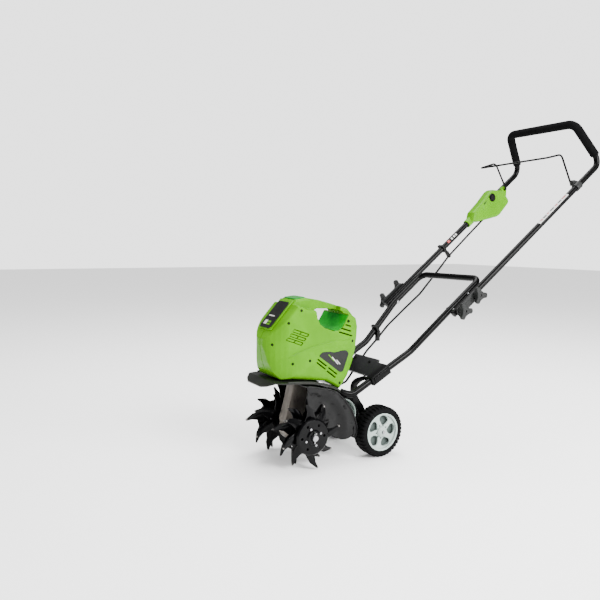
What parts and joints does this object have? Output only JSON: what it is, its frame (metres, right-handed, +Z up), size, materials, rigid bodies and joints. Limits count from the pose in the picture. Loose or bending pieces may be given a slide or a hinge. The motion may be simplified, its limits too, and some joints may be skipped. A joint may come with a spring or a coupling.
{
  "type": "mini cultivator",
  "caption": "Walk-behind mini cultivator with a folding tube handle, bail switch, plastic motor housing, star tines under a guard and rear transport wheels.",
  "frame": {"origin": "on the ground below the middle of the bounding box", "axes": "+Z up; -Y is the front, where the tines are; +X is the operator's left side"},
  "size_m": [0.4286, 1.3554, 1.1398],
  "materials": {
    "green_shell": "glossy moulded plastic",
    "black_tube": "gloss black powder coat",
    "foam": "matte closed-cell foam",
    "grey_plastic": "satin grey plastic",
    "dark_plastic": "satin dark grey plastic",
    "steel": "zinc-plated steel",
    "tine_steel": "dark coated steel with worn edges",
    "tyre": "matte moulded rubber",
    "wheel_hub": "satin pale grey-green plastic",
    "copper": "wound copper and bronze",
    "grey_coat": "grey painted steel"
  },
  "bodies": {
    "chassis": {"housing_left": "green_shell", "housing_right": "green_shell", "shell_screw_1": "steel", "shell_screw_2": "steel", "shell_screw_3": "steel", "battery_pack": "dark_plastic", "motor_can": "steel", "gearcase_left": "steel", "gearcase_right": "steel", "front_fender": "dark_plastic", "rear_guard": "black_tube", "lower_handle": "black_tube", "leg_plate": "grey_coat", "plate_screw_1": "steel", "plate_screw_2": "steel", "plate_screw_3": "steel", "plate_screw_4": "steel", "plate_screw_5": "steel", "leg_sleeve_left": "black_tube", "leg_sleeve_right": "black_tube", "wheel_arm_left": "black_tube", "wheel_arm_right": "black_tube", "wheel_axle": "steel", "cable_lower": "dark_plastic", "cable_gland": "dark_plastic", "cable_clip_lower": "dark_plastic", "bolt_lower_left": "steel", "bolt_lower_right": "steel"},
    "battery_door": {"battery_door": "green_shell"},
    "rotor": {"motor_rotor": "copper"},
    "tines": {"tine_shaft": "steel", "worm_wheel": "copper", "tine_outer_left": "tine_steel", "tine_inner_left": "tine_steel", "tine_inner_right": "tine_steel", "tine_outer_right": "tine_steel", "tine_hub_left": "tine_steel", "tine_hub_right": "tine_steel", "hitch_pin_left": "steel", "hitch_pin_right": "steel"},
    "wheel_left": {"tyre_left": "tyre", "wheel_hub_left": "wheel_hub"},
    "wheel_right": {"tyre_right": "tyre", "wheel_hub_right": "wheel_hub"},
    "upper_handle": {"upper_handle": "black_tube", "foam_grip": "foam", "fold_bracket_left": "grey_plastic", "fold_bracket_right": "grey_plastic", "bolt_upper_left": "steel", "bolt_upper_right": "steel", "control_box": "green_shell", "bail_pivot": "grey_plastic", "cable_upper": "dark_plastic", "cable_clip_upper": "dark_plastic"},
    "lock_button": {"lock_button": "dark_plastic"},
    "bail": {"bail": "black_tube"},
    "knob_lower_left": {"knob_lower_left": "grey_plastic"},
    "knob_lower_right": {"knob_lower_right": "grey_plastic"},
    "knob_upper_left": {"knob_upper_left": "grey_plastic"},
    "knob_upper_right": {"knob_upper_right": "grey_plastic"}
  },
  "joints": [
    {"name": "handle_fold", "type": "hinge", "parent": "chassis", "child": "upper_handle", "pos_m": [0, -0.0237, 0.45648], "axis": [1, 0, 0], "range_deg": [0, 135]},
    {"name": "door_hinge", "type": "hinge", "parent": "chassis", "child": "battery_door", "pos_m": [0, -0.56699, 0.49954], "axis": [-1, 0, 0], "range_deg": [0, 70]},
    {"name": "motor_spin", "type": "hinge", "parent": "chassis", "child": "rotor", "pos_m": [0, -0.5137, 0.3], "axis": [0, 0, 1], "continuous": true},
    {"name": "tine_spin", "type": "hinge", "parent": "chassis", "child": "tines", "pos_m": [0, -0.5467, 0.1015], "axis": [1, 0, 0], "continuous": true},
    {"name": "wheel_left_spin", "type": "hinge", "parent": "chassis", "child": "wheel_left", "pos_m": [0.108, -0.2927, 0.08], "axis": [1, 0, 0], "continuous": true},
    {"name": "wheel_right_spin", "type": "hinge", "parent": "chassis", "child": "wheel_right", "pos_m": [-0.108, -0.2927, 0.08], "axis": [1, 0, 0], "continuous": true},
    {"name": "lock_press", "type": "slide", "parent": "upper_handle", "child": "lock_button", "axis": [-1, 0, 0], "range_m": [0, 0.0035], "stiffness_N_per_m": 500, "springref_m": -0.002},
    {"name": "bail_squeeze", "type": "hinge", "parent": "upper_handle", "child": "bail", "pos_m": [0, 0.5573, 0.9], "axis": [-1, 0, 0], "range_deg": [0, 45], "stiffness_Nm_per_rad": 1.2, "springref_deg": -28.65},
    {"name": "knob_lower_left_turn", "type": "hinge", "parent": "chassis", "child": "knob_lower_left", "pos_m": [0.2, -0.0237, 0.45648], "axis": [1, 0, 0], "continuous": true},
    {"name": "knob_lower_right_turn", "type": "hinge", "parent": "chassis", "child": "knob_lower_right", "pos_m": [-0.2, -0.0237, 0.45648], "axis": [1, 0, 0], "continuous": true},
    {"name": "knob_upper_left_turn", "type": "hinge", "parent": "upper_handle", "child": "knob_upper_left", "pos_m": [0.2, 0.0413, 0.50514], "axis": [1, 0, 0], "continuous": true},
    {"name": "knob_upper_right_turn", "type": "hinge", "parent": "upper_handle", "child": "knob_upper_right", "pos_m": [-0.2, 0.0413, 0.50514], "axis": [1, 0, 0], "continuous": true}
  ],
  "couplings": [
    {"joint": "motor_spin", "follows": "tine_spin", "ratio": 20}
  ]
}
